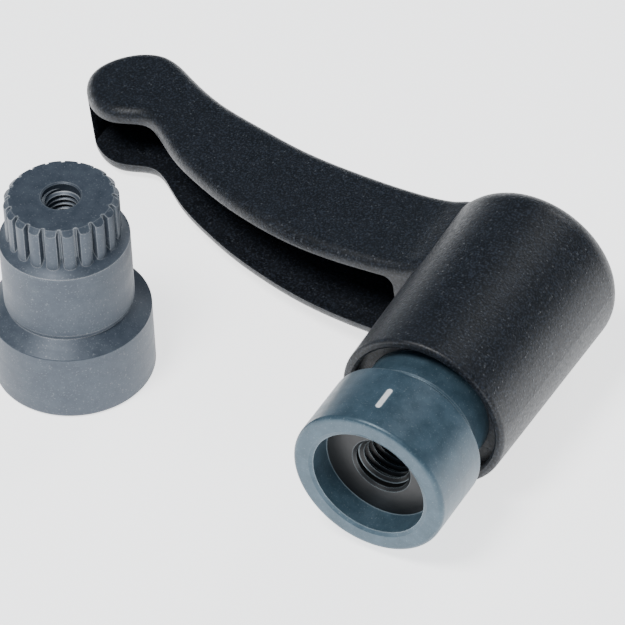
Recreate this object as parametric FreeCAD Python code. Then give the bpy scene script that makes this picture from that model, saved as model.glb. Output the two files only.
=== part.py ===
import FreeCAD, Part
import math
import os

from FreeCAD import Vector

# Indexable clamping lever with a fitted and a loose splined insert. Millimetres.
# The hub axis is Y: the fitted insert's collar faces -Y and its seat plane is Y = 0.
# The arm points to -X. The lever lies on its side, on the hub and the arm's tip.

os.makedirs("parts", exist_ok=True)

# ---- splined insert, heights measured from the seat face of its collar ----
COLLAR_R = 17.0
COLLAR_H = 16.1
COLLAR_ROUND = 1.0
SEAT_BEVEL_W = 0.9
SEAT_BEVEL_H = 0.45
BEVEL_TOP = 18.7
GUIDE_R = 13.6
GUIDE_TOP = 35.4
RELIEF_W = 0.8
RELIEF_D = 0.35
INSERT_H = 46.4
EDGE_CHAMFER = 0.3

COUNTERBORE_R = 12.5
COUNTERBORE_D = 6.0
STUD_HOLE_R = 6.0
STUD_HOLE_END = 27.0
STUD_CHAMFER = 0.6

TEETH = 20
TOOTH_CREST_R = 11.95
TOOTH_CORNER_R = 11.6
TOOTH_ROOT_R = 10.5
TOOTH_CORNER_W = 2.4
TOOTH_ROOT_W = 2.7
TOOTH_CHAMFER = 1.1
SHOULDER_MIDDLE = 36.5
SHOULDER_TOP = 38.5

SCREW_R = 4.0
SCREW_HOLE_R = 4.0
SCREW_HOLE_D = 13.3
SCREW_HOLE_CHAMFER = 0.3

# ---- index mark ----
MARK_START = 5.1
MARK_END = 10.9
MARK_W = 1.1
MARK_D = 0.25

# ---- lever hub, positions along Y with the lever lifted out of mesh ----
RIM_Y = 23.2
RIM_R = 18.4
RIM_ROUND = 0.9
RIM_RECESS_R = 16.3
RIM_RECESS_D = 3.0
RIM_CHAMFER = 0.5
HUB_R = 19.4
HUB_SHOULDER_Y = 70.2
HUB_BACK_Y = 75.9
GUIDE_BORE_R = 13.65
GUIDE_BORE_END = RIM_Y + 22.0
MESH_CLEARANCE = 0.1
RING_START = RIM_Y + 23.4
RING_END = RIM_Y + 29.5
RELIEF_BORE_R = 12.5
FLANGE_FRONT = RIM_Y + 30.9
FLANGE_BACK = RIM_Y + 33.7
FLANGE_HOLE_R = 4.3
BACK_BORE_R = 9.0
BACK_BORE_CHAMFER = 0.5

# ---- screw, washer and spring ----
SPRING_COILS = 4.0
SPRING_WIRE_R = 0.5
SPRING_R = 6.0
SPRING_LENGTH = 5.6
WASHER_Y = FLANGE_BACK + SPRING_LENGTH
WASHER_T = 1.5
WASHER_R = 8.0
WASHER_HOLE_R = 4.2
HEAD_Y = WASHER_Y + WASHER_T
HEAD_R = 7.0
HEAD_H = 4.4
HEAD_EDGE = 0.6
HEAD_MIDDLE_R = 5.9
HEAD_MIDDLE_H = 3.0
HEAD_TOP_R = 3.6
SHANK_L = 30.0
SHANK_CHAMFER = 0.8
HEX_ACROSS_FLATS = 5.0
HEX_DEPTH = 2.6

# ---- arm, outlined by distance from the hub axis and position along Y ----
ARM_NEAR_EDGE = [
    (8.0, 50.5), (34.0, 51.1), (47.0, 53.3), (56.5, 56.1), (66.9, 60.1),
    (75.8, 64.5), (84.6, 69.8), (91.0, 75.0), (96.7, 78.2),
]
ARM_LOBE = [(103.8, 77.0), (111.2, 79.7), (116.0, 87.9), (111.8, 96.1), (103.9, 99.1)]
ARM_FAR_EDGE = [(94.7, 95.1), (82.7, 88.6), (70.8, 84.4), (57.8, 80.3), (42.6, 77.2), (26.5, 75.1), (8.0, 74.6)]
ARM_HALF_WIDTH = [
    (8.0, 13.0), (11.5, 13.4), (14.8, 13.0), (17.4, 12.2), (20.5, 11.6), (28.0, 11.0),
    (45.0, 10.35), (68.0, 9.65), (90.0, 9.25), (125.0, 8.9),
]
ARM_ROUND = 2.7
POCKET_ROOT = 20.6
POCKET_CORNER = 2.4
POCKET_HALF_WIDTH = [(POCKET_ROOT, 8.1), (28.0, 7.9), (45.0, 7.2), (68.0, 6.5), (90.0, 6.0), (125.0, 5.1)]
POCKET_ROOF = [
    (10.0, 70.6), (42.0, 73.1), (57.0, 76.0), (70.0, 80.2), (82.2, 84.7), (94.5, 90.8), (103.3, 94.9),
    (110.2, 93.0), (113.2, 87.9),
]
POCKET_LOW_Y = 40.0
ARM_REACH = 110.0

# ---- placing; the roll brings the arm's tip down to the surface that the hub lies on ----
LEVER_ROLL = 5.28
FLOOR_Z = -HUB_R
SPARE_X = -82.0
SPARE_Y = 21.9
SPARE_TURN = 1.6

AXIS = Vector(0, 1, 0)
ORIGIN = Vector(0, 0, 0)


def profile_point(radius, y):
    return Vector(radius, y, 0)


def lines_through(points):
    return [Part.makeLine(profile_point(*a), profile_point(*b)) for a, b in zip(points, points[1:])]


def arc_through(start, middle, end):
    return Part.Arc(profile_point(*start), profile_point(*middle), profile_point(*end)).toShape()


def revolved(edges):
    """Solid of revolution about Y from a closed run of profile edges."""
    return Part.Face(Part.Wire(edges)).revolve(ORIGIN, AXIS, 360)


def cylinder(radius, start, end):
    return Part.makeCylinder(radius, end - start, Vector(0, start, 0), AXIS)


def cone(radius_start, radius_end, start, end):
    return Part.makeCone(radius_start, radius_end, end - start, Vector(0, start, 0), AXIS)


def tooth_ring(clearance, start, end):
    """Spline teeth on a thin core as one solid, grown all round by a clearance."""
    root_r = TOOTH_ROOT_R + clearance
    corner_r = TOOTH_CORNER_R + clearance
    crest_r = TOOTH_CREST_R + clearance
    root_half = TOOTH_ROOT_W / 2 + clearance
    corner_half = TOOTH_CORNER_W / 2 + clearance
    inner_r = root_r - 0.6
    foot = [
        Vector(-corner_half, start, corner_r),
        Vector(-root_half, start, root_r),
        Vector(-root_half, start, inner_r),
        Vector(root_half, start, inner_r),
        Vector(root_half, start, root_r),
        Vector(corner_half, start, corner_r),
    ]
    edges = [Part.makeLine(a, b) for a, b in zip(foot, foot[1:])]
    edges.append(Part.Arc(foot[-1], Vector(0, start, crest_r), foot[0]).toShape())
    tooth = Part.Face(Part.Wire(edges)).extrude(Vector(0, end - start, 0))
    teeth = []
    for index in range(TEETH):
        copy = tooth.copy()
        copy.rotate(ORIGIN, AXIS, index * 360.0 / TEETH)
        teeth.append(copy)
    core = cylinder(inner_r + 0.3, start, end)
    return core.multiFuse(teeth)


def splined_insert():
    """Insert with its axis along Y and its seat face at Y = 0."""
    guide_edge = (GUIDE_R, GUIDE_TOP)
    shoulder_end = (TOOTH_ROOT_R, SHOULDER_TOP)
    lower = lines_through([
        (0, 0),
        (COLLAR_R, 0),
        (COLLAR_R, COLLAR_H),
        (GUIDE_R - RELIEF_D, BEVEL_TOP),
        (GUIDE_R - RELIEF_D, BEVEL_TOP + RELIEF_W),
        (GUIDE_R, BEVEL_TOP + RELIEF_W + RELIEF_D),
        guide_edge,
    ])
    shoulder = arc_through(guide_edge, (TOOTH_CREST_R, SHOULDER_MIDDLE), shoulder_end)
    upper = lines_through([shoulder_end, (TOOTH_ROOT_R, INSERT_H), (0, INSERT_H), (0, 0)])
    body = revolved(lower + [shoulder] + upper)
    seat_edges = [e for e in body.Edges if on_circle(e, COLLAR_R, 0)]
    body = body.makeFillet(COLLAR_ROUND, seat_edges)
    back_edges = [e for e in body.Edges if on_circle(e, COLLAR_R, COLLAR_H)]
    body = body.makeFillet(EDGE_CHAMFER, back_edges)
    teeth = tooth_ring(0, GUIDE_TOP, INSERT_H)
    end_cone = cone(
        TOOTH_CREST_R + 10 - TOOTH_CHAMFER, TOOTH_CREST_R - TOOTH_CHAMFER, INSERT_H - 10, INSERT_H)
    end_limit = cylinder(COLLAR_R, 0, INSERT_H - 10).fuse(end_cone)
    body = body.fuse(teeth).common(end_limit)
    holes = [
        cone(COUNTERBORE_R + SEAT_BEVEL_W, COUNTERBORE_R, 0, SEAT_BEVEL_H),
        cylinder(COUNTERBORE_R, 0, COUNTERBORE_D),
        cone(STUD_HOLE_R + STUD_CHAMFER, STUD_HOLE_R, COUNTERBORE_D, COUNTERBORE_D + STUD_CHAMFER),
        cylinder(STUD_HOLE_R, 0, STUD_HOLE_END),
        cylinder(SCREW_HOLE_R, INSERT_H - SCREW_HOLE_D, INSERT_H),
        cone(SCREW_HOLE_R, SCREW_HOLE_R + SCREW_HOLE_CHAMFER, INSERT_H - SCREW_HOLE_CHAMFER, INSERT_H),
    ]
    for hole in holes:
        body = body.cut(hole)
    return body.removeSplitter()


def on_circle(edge, radius, y):
    curve = edge.Curve
    return (
        curve.TypeId == "Part::GeomCircle"
        and abs(curve.Radius - radius) < 0.01
        and abs(curve.Center.y - y) < 0.01
    )


def index_line(radius_low, radius_high):
    """Round-ended line along Y on the top of the collar, between two radii."""
    half = MARK_W / 2
    bar = Part.makeBox(MARK_W, MARK_END - MARK_START - MARK_W, 4, Vector(-half, MARK_START + half, COLLAR_R - 2))
    ends = [
        Part.makeCylinder(half, 4, Vector(0, y, COLLAR_R - 2))
        for y in (MARK_START + half, MARK_END - half)
    ]
    shell = cylinder(radius_high, MARK_START - 1, MARK_END + 1).cut(
        cylinder(radius_low, MARK_START - 1, MARK_END + 1))
    return bar.multiFuse(ends).common(shell).removeSplitter()


def smooth_edge(points):
    """Spline through (distance from the hub axis, y) points, in the plane Z = 0."""
    curve = Part.BSplineCurve()
    curve.interpolate([Vector(-r, y, 0) for r, y in points])
    return curve.toShape()


def between_sides(outline, half_width):
    """Extrude an outline across the arm and trim it to a half width that varies along the arm."""
    face = Part.Face(outline)
    face.translate(Vector(0, 0, -15))
    block = face.extrude(Vector(0, 0, 30))
    sides = []
    for sign in (1, -1):
        curve = Part.BSplineCurve()
        curve.interpolate([Vector(-r, 0, sign * half) for r, half in half_width])
        sides.append(curve.toShape())
    ends = [
        Part.makeLine(sides[0].firstVertex().Point, sides[1].firstVertex().Point),
        Part.makeLine(sides[0].lastVertex().Point, sides[1].lastVertex().Point),
    ]
    plan = Part.Face(Part.Wire(Part.__sortEdges__([sides[0], ends[1], sides[1], ends[0]])))
    return block.common(plan.extrude(Vector(0, 120, 0)))


def arm_blank():
    outline = smooth_edge(ARM_NEAR_EDGE + ARM_LOBE + ARM_FAR_EDGE)
    root = Part.makeLine(outline.lastVertex().Point, outline.firstVertex().Point)
    blank = between_sides(Part.Wire([outline, root]), ARM_HALF_WIDTH)
    long_edges = [e for e in blank.Edges if e.Length > ARM_REACH]
    return blank.makeFillet(ARM_ROUND, long_edges)


def arm_pocket():
    roof = smooth_edge(POCKET_ROOF)
    start = roof.firstVertex().Point
    end = roof.lastVertex().Point
    low_end = Vector(end.x, POCKET_LOW_Y, 0)
    low_start = Vector(start.x, POCKET_LOW_Y, 0)
    wire = Part.Wire([
        roof, Part.makeLine(end, low_end), Part.makeLine(low_end, low_start), Part.makeLine(low_start, start),
    ])
    pocket = between_sides(wire, POCKET_HALF_WIDTH)
    root_edges = [
        e for e in pocket.Edges
        if all(abs(v.X + POCKET_ROOT) < 0.01 for v in e.Vertexes) and abs(e.Vertexes[0].Y - e.Vertexes[1].Y) > 1
    ]
    return pocket.makeFillet(POCKET_CORNER, root_edges)


def hub_blank():
    corner = HUB_BACK_Y - HUB_SHOULDER_Y
    middle = math.sqrt(0.5) * corner
    shoulder = (HUB_R, HUB_SHOULDER_Y)
    corner_middle = (HUB_R - corner + middle, HUB_SHOULDER_Y + middle)
    back = (HUB_R - corner, HUB_BACK_Y)
    side = lines_through([(0, RIM_Y), (RIM_R, RIM_Y), shoulder])
    rear = lines_through([back, (0, HUB_BACK_Y), (0, RIM_Y)])
    hub = revolved(side + [arc_through(shoulder, corner_middle, back)] + rear)
    rim_edges = [e for e in hub.Edges if on_circle(e, RIM_R, RIM_Y)]
    return hub.makeFillet(RIM_ROUND, rim_edges)


def lever_bores():
    """Everything that is bored out of the hub, as a list of cutters."""
    return [
        cylinder(RIM_RECESS_R, RIM_Y - 1, RIM_Y + RIM_RECESS_D),
        cone(RIM_RECESS_R + RIM_CHAMFER, RIM_RECESS_R, RIM_Y, RIM_Y + RIM_CHAMFER),
        cylinder(GUIDE_BORE_R, RIM_Y, GUIDE_BORE_END),
        cone(GUIDE_BORE_R, RELIEF_BORE_R, GUIDE_BORE_END, RING_START),
        cylinder(TOOTH_ROOT_R + MESH_CLEARANCE, RIM_Y, FLANGE_FRONT),
        tooth_ring(MESH_CLEARANCE, RING_START - 1, RING_END + 1),
        cylinder(RELIEF_BORE_R, RING_END, FLANGE_FRONT),
        cylinder(FLANGE_HOLE_R, RIM_Y, HUB_BACK_Y + 5),
        cylinder(BACK_BORE_R, FLANGE_BACK, HUB_BACK_Y + 5),
        cone(BACK_BORE_R, BACK_BORE_R + BACK_BORE_CHAMFER, HUB_BACK_Y - BACK_BORE_CHAMFER, HUB_BACK_Y),
    ]


def lever_handle():
    """Lever in its own pose: arm to -X and level."""
    arm = arm_blank()
    lever = hub_blank().fuse(arm).cut(arm_pocket())
    for bore in lever_bores():
        lever = lever.cut(bore)
    return lever.removeSplitter()


def retaining_screw():
    """Low-head socket screw along Y."""
    shank_end = HEAD_Y - SHANK_L
    head_side = (HEAD_R, HEAD_Y + HEAD_EDGE)
    head_middle = (HEAD_MIDDLE_R, HEAD_Y + HEAD_MIDDLE_H)
    head_top = (HEAD_TOP_R, HEAD_Y + HEAD_H)
    shank = lines_through([
        (0, shank_end),
        (SCREW_R - SHANK_CHAMFER, shank_end),
        (SCREW_R, shank_end + SHANK_CHAMFER),
        (SCREW_R, HEAD_Y),
        (HEAD_R, HEAD_Y),
        head_side,
    ])
    top = lines_through([head_top, (0, HEAD_Y + HEAD_H), (0, shank_end)])
    screw = revolved(shank + [arc_through(head_side, head_middle, head_top)] + top)
    corner_r = HEX_ACROSS_FLATS / math.sqrt(3)
    corners = [
        Vector(corner_r * math.cos(math.radians(60 * k)), HEAD_Y + HEAD_H - HEX_DEPTH,
               corner_r * math.sin(math.radians(60 * k)))
        for k in range(7)
    ]
    socket = Part.Face(Part.makePolygon(corners)).extrude(Vector(0, HEX_DEPTH + 1, 0))
    return screw.cut(socket)


def thrust_washer():
    return cylinder(WASHER_R, WASHER_Y, WASHER_Y + WASHER_T).cut(
        cylinder(WASHER_HOLE_R, WASHER_Y - 1, WASHER_Y + WASHER_T + 1))


def return_spring():
    """Round-wire helix between the flange and the washer."""
    height = SPRING_LENGTH - 2 * SPRING_WIRE_R
    helix = Part.makeHelix(height / SPRING_COILS, height, SPRING_R)
    profile = Part.Wire(Part.makeCircle(SPRING_WIRE_R, Vector(SPRING_R, 0, 0), Vector(0, 1, 0)))
    coil = Part.Wire(helix).makePipeShell([profile], True, True)
    coil.rotate(ORIGIN, Vector(1, 0, 0), -90)
    coil.translate(Vector(0, FLANGE_BACK + SPRING_WIRE_R, 0))
    return coil


def stand_upright(shape):
    """Turn a shape from the Y axis to the Z axis and stand it beside the lever."""
    shape.rotate(ORIGIN, AXIS, SPARE_TURN)
    shape.rotate(ORIGIN, Vector(1, 0, 0), 90)
    shape.translate(Vector(SPARE_X, SPARE_Y, FLOOR_Z))
    return shape


insert = splined_insert()
spare = stand_upright(insert.copy())
insert.rotate(ORIGIN, AXIS, -LEVER_ROLL)
insert = insert.cut(index_line(COLLAR_R - MARK_D, COLLAR_R + 1))
lever = lever_handle()
lever.rotate(ORIGIN, AXIS, -LEVER_ROLL)

nodes = {
    "lever_handle": lever,
    "splined_insert": insert,
    "index_mark": index_line(COLLAR_R - MARK_D, COLLAR_R),
    "retaining_screw": retaining_screw(),
    "thrust_washer": thrust_washer(),
    "return_spring": return_spring(),
    "spare_insert": spare,
}
for name, shape in nodes.items():
    shape.exportStep(os.path.join("parts", name + ".step"))
    box = shape.BoundBox
    print(name, len(shape.Solids), shape.isValid(), round(shape.Volume, 1),
          [round(v, 2) for v in (box.XMin, box.YMin, box.ZMin, box.XMax, box.YMax, box.ZMax)])
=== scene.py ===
import math

import bmesh
import bpy
from mathutils import Matrix, Vector


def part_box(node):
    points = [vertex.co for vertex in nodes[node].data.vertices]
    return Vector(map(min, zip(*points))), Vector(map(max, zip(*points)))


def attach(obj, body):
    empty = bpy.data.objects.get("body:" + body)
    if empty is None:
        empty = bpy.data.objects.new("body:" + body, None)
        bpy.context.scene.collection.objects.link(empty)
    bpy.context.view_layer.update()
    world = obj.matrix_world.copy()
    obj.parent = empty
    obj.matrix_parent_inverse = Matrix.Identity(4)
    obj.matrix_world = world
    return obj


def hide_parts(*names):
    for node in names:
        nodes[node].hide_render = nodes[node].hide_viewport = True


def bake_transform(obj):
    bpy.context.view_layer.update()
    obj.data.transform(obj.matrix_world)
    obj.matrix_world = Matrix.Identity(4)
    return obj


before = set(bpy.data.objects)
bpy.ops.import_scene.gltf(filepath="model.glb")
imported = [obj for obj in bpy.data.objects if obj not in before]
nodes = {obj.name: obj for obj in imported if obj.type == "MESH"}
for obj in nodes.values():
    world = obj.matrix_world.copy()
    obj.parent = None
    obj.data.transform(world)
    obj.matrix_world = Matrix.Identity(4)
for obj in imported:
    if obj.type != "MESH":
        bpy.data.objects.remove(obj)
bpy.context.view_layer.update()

MM = 0.001
FLOOR_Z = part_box("spare_insert")[0].z

# Threads, in millimetres. Heights are measured from an insert's seat face.
STUD_R = 6.0
STUD_PITCH = 1.75
STUD_FROM = 6.5
STUD_TO = 26.6
SCREW_R = 4.0
SCREW_PITCH = 1.25
SCREW_FROM = 33.4
SCREW_TO = 45.5

# Counterbore floor and stud hole, measured the same way, and the painted shade coloured into them.
BORE_R = 12.35
BORE_FROM = 5.9
BORE_TO = 28.0
BORE_FLOOR_SHADE = (0.018, 0.0185, 0.0195, 1)
BORE_DEEP_SHADE = (0.010, 0.010, 0.010, 1)


# ---------- materials ----------

class Nodes:
    """A material's node tree, built a node at a time."""

    def __init__(self, name):
        self.material = bpy.data.materials.new(name)
        self.material.use_nodes = True
        self.tree = self.material.node_tree
        self.tree.nodes.clear()
        self.output = self.add("ShaderNodeOutputMaterial")
        self.shader = self.add("ShaderNodeBsdfPrincipled")
        self.tree.links.new(self.shader.outputs["BSDF"], self.output.inputs["Surface"])

    def add(self, kind, inputs=None, **settings):
        node = self.tree.nodes.new(kind)
        for key, value in settings.items():
            setattr(node, key, value)
        for key, value in (inputs or {}).items():
            self.set(node, key, value)
        return node

    def set(self, node, key, value):
        if isinstance(value, bpy.types.NodeSocket):
            self.tree.links.new(value, node.inputs[key])
        else:
            node.inputs[key].default_value = value

    def math(self, operation, a, b=0.0):
        return self.add("ShaderNodeMath", {0: a, 1: b}, operation=operation).outputs[0]

    def noise(self, vector, scale, detail=2.0, roughness=0.5):
        values = {"Vector": vector, "Scale": scale, "Detail": detail, "Roughness": roughness}
        return self.add("ShaderNodeTexNoise", values).outputs["Fac"]

    def spread(self, value, low, high, to_low=0.0, to_high=1.0):
        values = {"Value": value, "From Min": low, "From Max": high, "To Min": to_low, "To Max": to_high}
        return self.add("ShaderNodeMapRange", values).outputs["Result"]

    def mix(self, factor, a, b):
        node = self.add("ShaderNodeMix", data_type="RGBA")
        self.set(node, 0, factor)
        self.set(node, 6, a)
        self.set(node, 7, b)
        return node.outputs[2]

    def position(self):
        return self.add("ShaderNodeTexCoord").outputs["Object"]

    def edges(self, radius):
        """1 on convex and concave edges, 0 on open faces."""
        rounded = self.add("ShaderNodeBevel", {"Radius": radius}, samples=8).outputs["Normal"]
        true = self.add("ShaderNodeNewGeometry").outputs["Normal"]
        dot = self.add("ShaderNodeVectorMath", {0: rounded, 1: true}, operation="DOT_PRODUCT")
        return self.spread(dot.outputs["Value"], 0.99, 0.80)

    def bump(self, height, distance, strength=1.0, normal=None):
        values = {"Height": height, "Distance": distance, "Strength": strength}
        if normal is not None:
            values["Normal"] = normal
        return self.add("ShaderNodeBump", values).outputs["Normal"]

    def finish(self, color, roughness, normal, metallic=0.0, **sockets):
        self.set(self.shader, "Base Color", color)
        self.set(self.shader, "Roughness", roughness)
        self.set(self.shader, "Normal", normal)
        self.set(self.shader, "Metallic", metallic)
        for key, value in sockets.items():
            self.set(self.shader, key.replace("_", " "), value)
        return self.material


def powder_coat():
    """Fine-grained black powder coat: sparkling specks, pebbled skin, thinner and paler on edges."""
    n = Nodes("powder_coat")
    at = n.position()
    blotch = n.noise(at, 260.0, 3.0)
    grain = n.noise(at, 1500.0, 2.0)
    dust = n.noise(at, 2300.0, 1.0)
    cells = n.add("ShaderNodeTexVoronoi", {"Vector": at, "Scale": 1500.0})
    lucky = n.add("ShaderNodeSeparateColor", {"Color": cells.outputs["Color"]}).outputs[0]
    near = n.spread(cells.outputs["Distance"], 0.42, 0.18)
    speck = n.math("MULTIPLY", near, n.spread(lucky, 0.80, 0.92))
    edge = n.edges(1.2 * MM)
    shade = n.mix(n.spread(blotch, 0.35, 0.65), (0.0045, 0.0054, 0.0072, 1), (0.0078, 0.0090, 0.0118, 1))
    shade = n.mix(n.spread(dust, 0.48, 0.66), shade, (0.022, 0.027, 0.037, 1))
    shade = n.mix(n.math("MULTIPLY", speck, 0.5), shade, (0.07, 0.078, 0.09, 1))
    shade = n.mix(n.math("MULTIPLY", edge, 0.25), shade, (0.05, 0.054, 0.06, 1))
    rough = n.spread(grain, 0.3, 0.7, 0.36, 0.52)
    skin = n.bump(grain, 0.06 * MM)
    skin = n.bump(speck, 0.05 * MM, normal=skin)
    return n.finish(shade, rough, skin, Specular_IOR_Level=0.36)


def turned_steel(name, centre, axis, dark, light, worn, rough_low, rough_high, metallic):
    """Oxide-finished turned steel: faint tool lines round its axis, mottled oxide and rubbed edges.

    The centre is the middle of the insert's seat face. The counterbore's floor and the stud hole carry
    painted shade: they are coloured darker, the stud hole darkest.
    """
    n = Nodes(name)
    at = n.position()
    offset = n.add("ShaderNodeVectorMath", {0: at, 1: centre}, operation="SUBTRACT").outputs[0]
    parts = n.add("ShaderNodeSeparateXYZ", {0: offset})
    along = parts.outputs["XYZ".index(axis)]
    across = [parts.outputs[i] for i in range(3) if "XYZ"[i] != axis]
    square = n.math("ADD", n.math("POWER", across[0], 2.0), n.math("POWER", across[1], 2.0))
    radius = n.math("SQRT", square)
    turning = n.add("ShaderNodeCombineXYZ", {0: radius, 1: along}).outputs[0]
    lines = n.noise(turning, 4200.0, 3.0, 0.6)
    bands = n.noise(turning, 700.0, 2.0)
    mottle = n.noise(at, 330.0, 4.0, 0.6)
    fine = n.noise(at, 2600.0, 2.0)
    edge = n.edges(0.55 * MM)
    # Painted shade: mask of the counterbore floor and the stud hole, which are coloured darker.
    near_axis = n.math("LESS_THAN", radius, BORE_R * MM)
    past_floor = n.math("GREATER_THAN", along, BORE_FROM * MM)
    bore_shade_mask = n.math("MULTIPLY", near_axis, past_floor)
    bore_shade_mask = n.math("MULTIPLY", bore_shade_mask, n.math("LESS_THAN", along, BORE_TO * MM))
    deep_shade_mask = n.math("LESS_THAN", radius, (STUD_R + 0.1) * MM)
    color = n.mix(n.spread(mottle, 0.35, 0.65), dark, light)
    color = n.mix(n.spread(fine, 0.60, 0.8, 0.0, 0.35), color, worn)
    # Painted shade laid into the counterbore floor and the stud hole.
    color = n.mix(bore_shade_mask, color, n.mix(deep_shade_mask, BORE_FLOOR_SHADE, BORE_DEEP_SHADE))
    color = n.mix(n.math("MULTIPLY", edge, 0.75), color, worn)
    rough = n.math(
        "ADD", n.spread(mottle, 0.3, 0.7, rough_low, rough_high), n.spread(bands, 0.3, 0.7, -0.03, 0.03))
    relief = n.bump(lines, 0.012 * MM)
    relief = n.bump(fine, 0.01 * MM, normal=relief)
    return n.finish(color, rough, relief, metallic)


def white_paint():
    """Slightly uneven white paint in an engraved line."""
    n = Nodes("white_paint")
    at = n.position()
    uneven = n.noise(at, 900.0, 3.0)
    color = n.mix(n.spread(uneven, 0.3, 0.7), (0.80, 0.81, 0.80, 1), (0.90, 0.91, 0.90, 1))
    return n.finish(color, n.spread(uneven, 0.3, 0.7, 0.4, 0.6), n.bump(uneven, 0.03 * MM))


def drawn_steel(name, base, bright, rough):
    """Plain small steel part with light scuffs."""
    n = Nodes(name)
    at = n.position()
    scuff = n.noise(at, 800.0, 4.0, 0.65)
    edge = n.edges(0.25 * MM)
    color = n.mix(n.spread(scuff, 0.35, 0.7), base, bright)
    color = n.mix(n.math("MULTIPLY", edge, 0.5), color, (0.5, 0.5, 0.5, 1))
    uneven = n.spread(scuff, 0.3, 0.7, rough - 0.06, rough + 0.08)
    return n.finish(color, uneven, n.bump(scuff, 0.008 * MM), 1.0)


def cover(obj, material):
    obj.data.materials.clear()
    obj.data.materials.append(material)


spare_low, spare_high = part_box("spare_insert")
spare_centre = (spare_low + spare_high) / 2
spare_seat = Vector((spare_centre.x, spare_centre.y, FLOOR_Z))

OXIDE_DARK = (0.040, 0.074, 0.100, 1)
OXIDE_LIGHT = (0.062, 0.106, 0.140, 1)
OXIDE_WORN = (0.32, 0.38, 0.41, 1)
PHOSPHATE_DARK = (0.048, 0.062, 0.083, 1)
PHOSPHATE_LIGHT = (0.070, 0.087, 0.110, 1)
PHOSPHATE_WORN = (0.40, 0.42, 0.44, 1)

oxide = turned_steel(
    "black_oxide", (0.0, 0.0, 0.0), "Y", OXIDE_DARK, OXIDE_LIGHT, OXIDE_WORN, 0.32, 0.42, 0.25)
phosphate = turned_steel(
    "phosphate", tuple(spare_seat), "Z", PHOSPHATE_DARK, PHOSPHATE_LIGHT, PHOSPHATE_WORN, 0.42, 0.54, 0.3)
finishes = {
    "lever_handle": powder_coat(),
    "splined_insert": oxide,
    "spare_insert": phosphate,
    "index_mark": white_paint(),
    "retaining_screw": drawn_steel("screw_steel", (0.03, 0.03, 0.034, 1), (0.07, 0.07, 0.075, 1), 0.34),
    "thrust_washer": drawn_steel("washer_steel", (0.42, 0.43, 0.44, 1), (0.58, 0.58, 0.57, 1), 0.30),
}
for name, material in finishes.items():
    cover(nodes[name], material)


# ---------- threads ----------

STEPS_ROUND = 72
RUN_OUT_STEPS = 24
THREAD_DEPTH_SHARE = 0.5413
FOOT_SHARE = 0.46
CREST_SHARE = 0.07
BITE = 0.04


def thread(name, radius, pitch, start, end, placing, body, material):
    """Internal thread: a helical ridge on a hole's wall, from a height to another."""
    turns = (end - start) / pitch - 1.0
    steps = int(turns * STEPS_ROUND)
    depth = THREAD_DEPTH_SHARE * pitch
    wall = radius + BITE
    crest = radius - depth
    section = [
        (wall, -FOOT_SHARE * pitch),
        (crest, -CREST_SHARE * pitch),
        (crest, CREST_SHARE * pitch),
        (wall, FOOT_SHARE * pitch),
    ]
    mesh = bmesh.new()
    rings = []
    for step in range(steps + 1):
        turn = 2 * math.pi * step / STEPS_ROUND
        rise = start + 0.5 * pitch + pitch * step / STEPS_ROUND
        run_out = min(1.0, step / RUN_OUT_STEPS, (steps - step) / RUN_OUT_STEPS)
        ring = []
        for r, shift in section:
            reach = wall - (wall - r) * run_out
            height = rise + shift * (0.25 + 0.75 * run_out)
            point = Vector((reach * math.cos(turn), height, reach * math.sin(turn)))
            ring.append(mesh.verts.new(placing @ (point * MM)))
        rings.append(ring)
    for a, b in zip(rings, rings[1:]):
        for k in range(4):
            mesh.faces.new((a[k], b[k], b[(k + 1) % 4], a[(k + 1) % 4]))
    mesh.faces.new(rings[0][::-1])
    mesh.faces.new(rings[-1])
    bmesh.ops.recalc_face_normals(mesh, faces=mesh.faces)
    data = bpy.data.meshes.new(name)
    mesh.to_mesh(data)
    mesh.free()
    piece = bpy.data.objects.new(name, data)
    bpy.context.scene.collection.objects.link(piece)
    cover(piece, material)
    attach(piece, body)
    return piece


fitted = Matrix.Identity(4)
standing = Matrix.Translation(spare_seat) @ Matrix.Rotation(math.pi / 2, 4, "X")
thread("stud_thread", STUD_R, STUD_PITCH, STUD_FROM, STUD_TO, fitted, "insert", oxide)
thread(
    "spare_stud_thread", STUD_R, STUD_PITCH, STUD_FROM, STUD_TO, standing, "spare", phosphate)
thread(
    "spare_screw_thread", SCREW_R, SCREW_PITCH, SCREW_FROM, SCREW_TO, standing, "spare", phosphate)


# ---------- return spring ----------

def stretching_spring():
    """A copy of the spring between the washer and the lever's flange, with its own steel finish; the
    original spring is hidden.
    """
    source = nodes["return_spring"]
    piece = bpy.data.objects.new("return_coil", source.data.copy())
    bpy.context.scene.collection.objects.link(piece)
    cover(piece, drawn_steel("spring_steel", (0.26, 0.27, 0.28, 1), (0.38, 0.39, 0.40, 1), 0.28))
    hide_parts("return_spring")
    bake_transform(piece)


stretching_spring()


# ---------- floor, light, camera ----------

FLOOR_SIZE = 6.0
FLOOR_GLOW = 2.0
SKY_COLOR = (0.60, 0.78, 1.0, 1)
SKY_STRENGTH = 0.24


def white_floor():
    n = Nodes("floor")
    at = n.position()
    cloud = n.noise(at, 3.0, 2.0)
    color = n.mix(cloud, (0.90, 0.90, 0.90, 1), (0.93, 0.93, 0.93, 1))
    n.set(n.shader, "Emission Color", (1, 1, 1, 1))
    n.set(n.shader, "Emission Strength", FLOOR_GLOW)
    return n.finish(color, 0.7, n.bump(cloud, 0.01 * MM))


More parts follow.
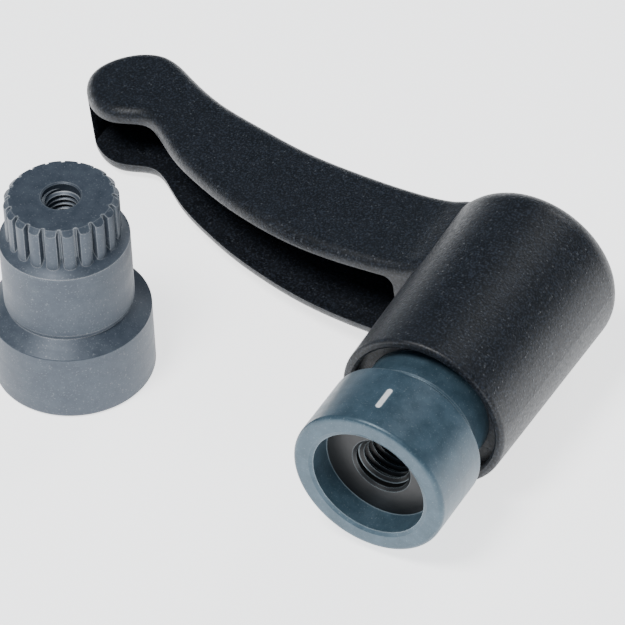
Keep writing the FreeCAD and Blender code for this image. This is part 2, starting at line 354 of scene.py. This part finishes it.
def flat_sheet(name, size, z):
    data = bpy.data.meshes.new(name)
    half = size / 2
    corners = [(-half, -half, z), (half, -half, z), (half, half, z), (-half, half, z)]
    data.from_pydata(corners, [], [(0, 1, 2, 3)])
    piece = bpy.data.objects.new(name, data)
    bpy.context.scene.collection.objects.link(piece)
    return piece


floor = flat_sheet("floor", FLOOR_SIZE, FLOOR_Z)
cover(floor, white_floor())


def soft_light(name, place, target, size, power):
    light = bpy.data.lights.new(name, "AREA")
    light.shape = "DISK"
    light.size = size
    light.energy = power
    lamp = bpy.data.objects.new(name, light)
    bpy.context.scene.collection.objects.link(lamp)
    lamp.location = place
    lamp.rotation_mode = "QUATERNION"
    lamp.rotation_quaternion = (Vector(target) - Vector(place)).to_track_quat("-Z", "Y")
    return lamp


LOOK_AT = Vector((-0.04496, 0.05770, -0.01934))
soft_light("key", (-0.15, -0.30, 0.75), LOOK_AT, 0.30, 6.5)
soft_light("side", (0.10, 0.75, 0.45), LOOK_AT, 0.30, 1.5)

world = bpy.data.worlds.new("studio")
world.use_nodes = True
world.node_tree.nodes["Background"].inputs["Color"].default_value = SKY_COLOR
world.node_tree.nodes["Background"].inputs["Strength"].default_value = SKY_STRENGTH
bpy.context.scene.world = world

CAMERA_AZIMUTH = math.radians(30.663)
CAMERA_ELEVATION = math.radians(42.484)
CAMERA_ROLL = math.radians(-2.635)
CAMERA_DISTANCE = 1.11426
CAMERA_LENS = 303.74
back = Vector((
    math.sin(CAMERA_AZIMUTH) * math.cos(CAMERA_ELEVATION),
    -math.cos(CAMERA_AZIMUTH) * math.cos(CAMERA_ELEVATION),
    math.sin(CAMERA_ELEVATION),
))
camera_data = bpy.data.cameras.new("camera")
camera_data.lens = CAMERA_LENS
camera_data.sensor_width = 36.0
camera = bpy.data.objects.new("camera", camera_data)
bpy.context.scene.collection.objects.link(camera)
camera.location = LOOK_AT + back * CAMERA_DISTANCE
camera.rotation_mode = "QUATERNION"
roll = Matrix.Rotation(CAMERA_ROLL, 3, "Z").to_quaternion()
camera.rotation_quaternion = (-back).to_track_quat("-Z", "Y") @ roll
bpy.context.scene.camera = camera
